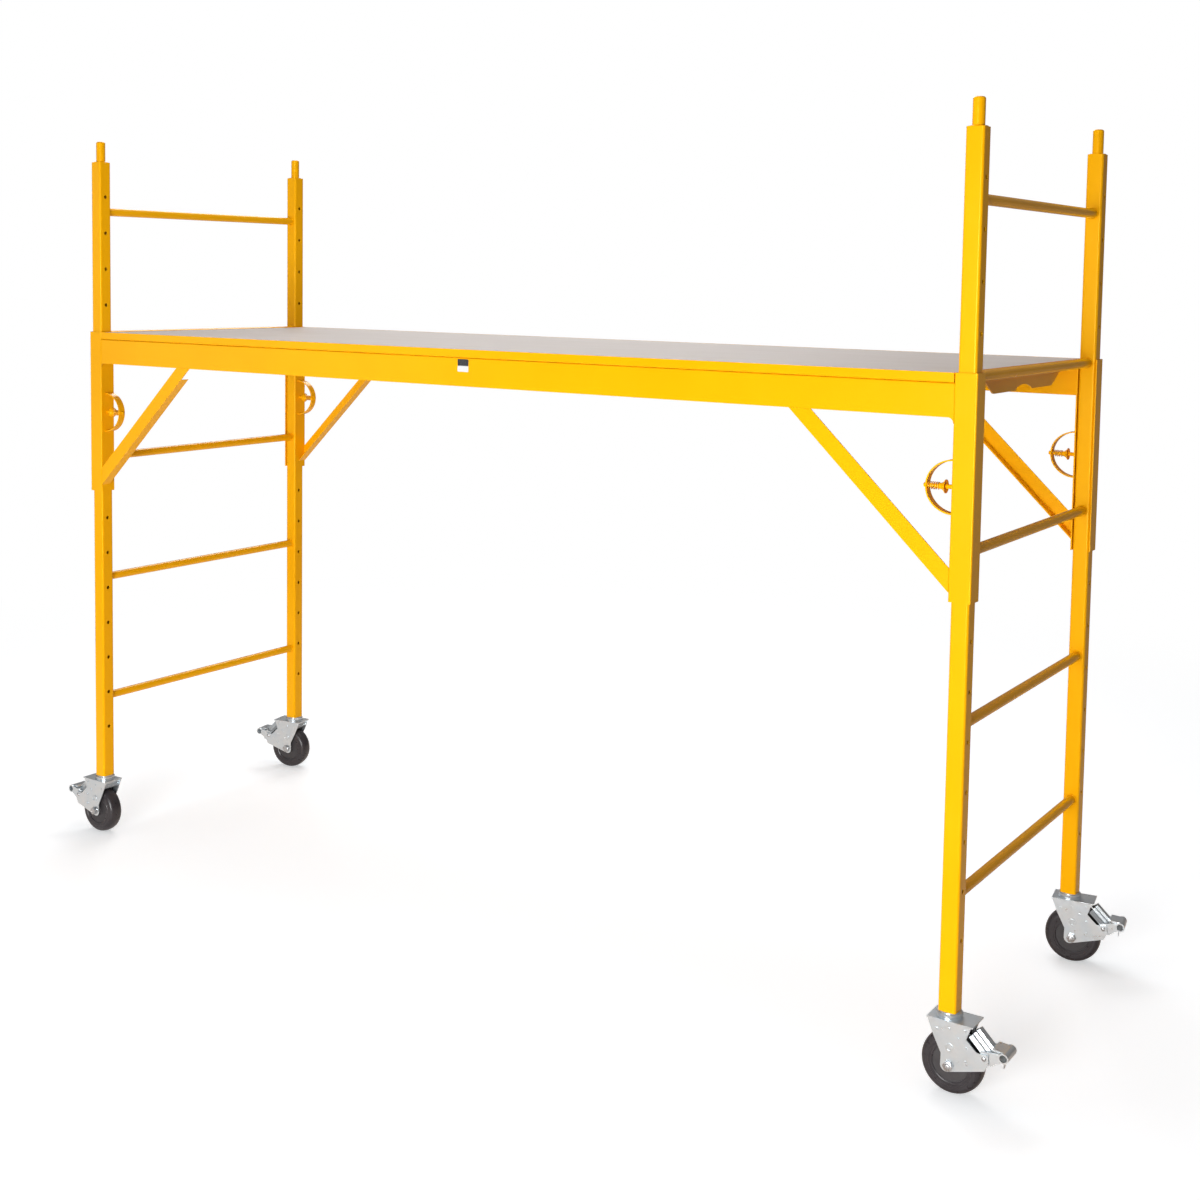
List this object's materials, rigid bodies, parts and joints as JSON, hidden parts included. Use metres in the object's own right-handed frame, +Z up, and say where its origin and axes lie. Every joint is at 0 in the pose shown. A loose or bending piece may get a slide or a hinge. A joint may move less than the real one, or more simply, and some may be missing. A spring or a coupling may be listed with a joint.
{
  "type": "baker scaffold",
  "caption": "Rolling baker scaffold: ladder end frames on locking casters carry a plywood deck on side trusses that pin to the posts at a chosen height.",
  "frame": {"origin": "on the floor, midway between the four posts", "axes": "+X along the deck, +Y from the front truss to the rear one, +Z up"},
  "size_m": [2.8396, 0.8664, 1.993],
  "materials": {
    "yellow_paint": "gloss",
    "zinc_plate": "satin",
    "bolt_steel": "satin",
    "spring_steel": "gloss",
    "tyre_rubber": "satin",
    "wheel_core": "matte",
    "plywood": "matte",
    "label": "satin"
  },
  "bodies": {
    "end_frames": {"post_front_left": "yellow_paint", "post_front_right": "yellow_paint", "post_rear_left": "yellow_paint", "post_rear_right": "yellow_paint", "rungs_left": "yellow_paint", "rungs_right": "yellow_paint", "coupling_pins": "yellow_paint", "caster_stems": "zinc_plate"},
    "trusses": {"truss_rail_front": "yellow_paint", "truss_rail_rear": "yellow_paint", "label_plate": "label", "sleeve_front_left": "yellow_paint", "sleeve_front_right": "yellow_paint", "sleeve_rear_left": "yellow_paint", "sleeve_rear_right": "yellow_paint", "knee_brace_front_left": "yellow_paint", "knee_brace_front_right": "yellow_paint", "knee_brace_rear_left": "yellow_paint", "knee_brace_rear_right": "yellow_paint", "pin_guard_front_left": "yellow_paint", "pin_guard_front_right": "yellow_paint", "pin_guard_rear_left": "yellow_paint", "pin_guard_rear_right": "yellow_paint"},
    "deck": {"deck_panel": "plywood", "deck_edge_front": "yellow_paint", "deck_edge_rear": "yellow_paint", "deck_end_channel_left": "yellow_paint", "deck_end_channel_right": "yellow_paint", "deck_joists": "yellow_paint", "deck_screws": "bolt_steel"},
    "pull_pin_front_left": {"pull_pin_front_left": "yellow_paint", "pin_spring_front_left": "spring_steel"},
    "caster_yoke_front_left": {"caster_yoke_front_left": "zinc_plate", "caster_bolts_front_left": "bolt_steel"},
    "wheel_front_left": {"tyre_front_left": "tyre_rubber", "wheel_core_front_left": "wheel_core"},
    "brake_lever_front_left": {"brake_lever_front_left": "zinc_plate"},
    "pull_pin_front_right": {"pull_pin_front_right": "yellow_paint", "pin_spring_front_right": "spring_steel"},
    "caster_yoke_front_right": {"caster_yoke_front_right": "zinc_plate", "caster_bolts_front_right": "bolt_steel"},
    "wheel_front_right": {"tyre_front_right": "tyre_rubber", "wheel_core_front_right": "wheel_core"},
    "brake_lever_front_right": {"brake_lever_front_right": "zinc_plate"},
    "pull_pin_rear_left": {"pull_pin_rear_left": "yellow_paint", "pin_spring_rear_left": "spring_steel"},
    "caster_yoke_rear_left": {"caster_yoke_rear_left": "zinc_plate", "caster_bolts_rear_left": "bolt_steel"},
    "wheel_rear_left": {"tyre_rear_left": "tyre_rubber", "wheel_core_rear_left": "wheel_core"},
    "brake_lever_rear_left": {"brake_lever_rear_left": "zinc_plate"},
    "pull_pin_rear_right": {"pull_pin_rear_right": "yellow_paint", "pin_spring_rear_right": "spring_steel"},
    "caster_yoke_rear_right": {"caster_yoke_rear_right": "zinc_plate", "caster_bolts_rear_right": "bolt_steel"},
    "wheel_rear_right": {"tyre_rear_right": "tyre_rubber", "wheel_core_rear_right": "wheel_core"},
    "brake_lever_rear_right": {"brake_lever_rear_right": "zinc_plate"}
  },
  "joints": [
    {"name": "platform_height", "type": "slide", "parent": "end_frames", "child": "trusses", "axis": [0, 0, 1], "range_m": [-0.8128, 0.4064]},
    {"name": "deck_lift_off", "type": "slide", "parent": "trusses", "child": "deck", "axis": [0, 0, 1], "range_m": [0, 0.3]},
    {"name": "pin_pull_front_left", "type": "slide", "parent": "trusses", "child": "pull_pin_front_left", "axis": [1, 0, 0], "range_m": [0, 0.012], "stiffness_N_per_m": 1200, "springref_m": -0.006, "deforming": ["pin_spring_front_left"]},
    {"name": "caster_swivel_front_left", "type": "hinge", "parent": "end_frames", "child": "caster_yoke_front_left", "pos_m": [-1.286, -0.3905, 0.16015], "axis": [0, 0, 1], "continuous": true},
    {"name": "wheel_spin_front_left", "type": "hinge", "parent": "caster_yoke_front_left", "child": "wheel_front_left", "pos_m": [-1.2975, -0.3905, 0.065], "axis": [0, -1, 0], "continuous": true},
    {"name": "brake_press_front_left", "type": "hinge", "parent": "caster_yoke_front_left", "child": "brake_lever_front_left", "pos_m": [-1.3695, -0.3905, 0.099], "axis": [0, -1, 0], "range_deg": [0, 20]},
    {"name": "pin_pull_front_right", "type": "slide", "parent": "trusses", "child": "pull_pin_front_right", "axis": [-1, 0, 0], "range_m": [0, 0.012], "stiffness_N_per_m": 1200, "springref_m": -0.006, "deforming": ["pin_spring_front_right"]},
    {"name": "caster_swivel_front_right", "type": "hinge", "parent": "end_frames", "child": "caster_yoke_front_right", "pos_m": [1.286, -0.3905, 0.16015], "axis": [0, 0, 1], "continuous": true},
    {"name": "wheel_spin_front_right", "type": "hinge", "parent": "caster_yoke_front_right", "child": "wheel_front_right", "pos_m": [1.2975, -0.3905, 0.065], "axis": [0, 1, 0], "continuous": true},
    {"name": "brake_press_front_right", "type": "hinge", "parent": "caster_yoke_front_right", "child": "brake_lever_front_right", "pos_m": [1.3695, -0.3905, 0.099], "axis": [0, 1, 0], "range_deg": [0, 20]},
    {"name": "pin_pull_rear_left", "type": "slide", "parent": "trusses", "child": "pull_pin_rear_left", "axis": [1, 0, 0], "range_m": [0, 0.012], "stiffness_N_per_m": 1200, "springref_m": -0.006, "deforming": ["pin_spring_rear_left"]},
    {"name": "caster_swivel_rear_left", "type": "hinge", "parent": "end_frames", "child": "caster_yoke_rear_left", "pos_m": [-1.286, 0.3905, 0.16015], "axis": [0, 0, 1], "continuous": true},
    {"name": "wheel_spin_rear_left", "type": "hinge", "parent": "caster_yoke_rear_left", "child": "wheel_rear_left", "pos_m": [-1.29733, 0.3885, 0.065], "axis": [0.1736, -0.9848, 0], "continuous": true},
    {"name": "brake_press_rear_left", "type": "hinge", "parent": "caster_yoke_rear_left", "child": "brake_lever_rear_left", "pos_m": [-1.36823, 0.376, 0.099], "axis": [0.1736, -0.9848, 0], "range_deg": [0, 20]},
    {"name": "pin_pull_rear_right", "type": "slide", "parent": "trusses", "child": "pull_pin_rear_right", "axis": [-1, 0, 0], "range_m": [0, 0.012], "stiffness_N_per_m": 1200, "springref_m": -0.006, "deforming": ["pin_spring_rear_right"]},
    {"name": "caster_swivel_rear_right", "type": "hinge", "parent": "end_frames", "child": "caster_yoke_rear_right", "pos_m": [1.286, 0.3905, 0.16015], "axis": [0, 0, 1], "continuous": true},
    {"name": "wheel_spin_rear_right", "type": "hinge", "parent": "caster_yoke_rear_right", "child": "wheel_rear_right", "pos_m": [1.29736, 0.3923, 0.065], "axis": [-0.1564, 0.9877, 0], "continuous": true},
    {"name": "brake_press_rear_right", "type": "hinge", "parent": "caster_yoke_rear_right", "child": "brake_lever_rear_right", "pos_m": [1.36847, 0.40356, 0.099], "axis": [-0.1564, 0.9877, 0], "range_deg": [0, 20]}
  ]
}
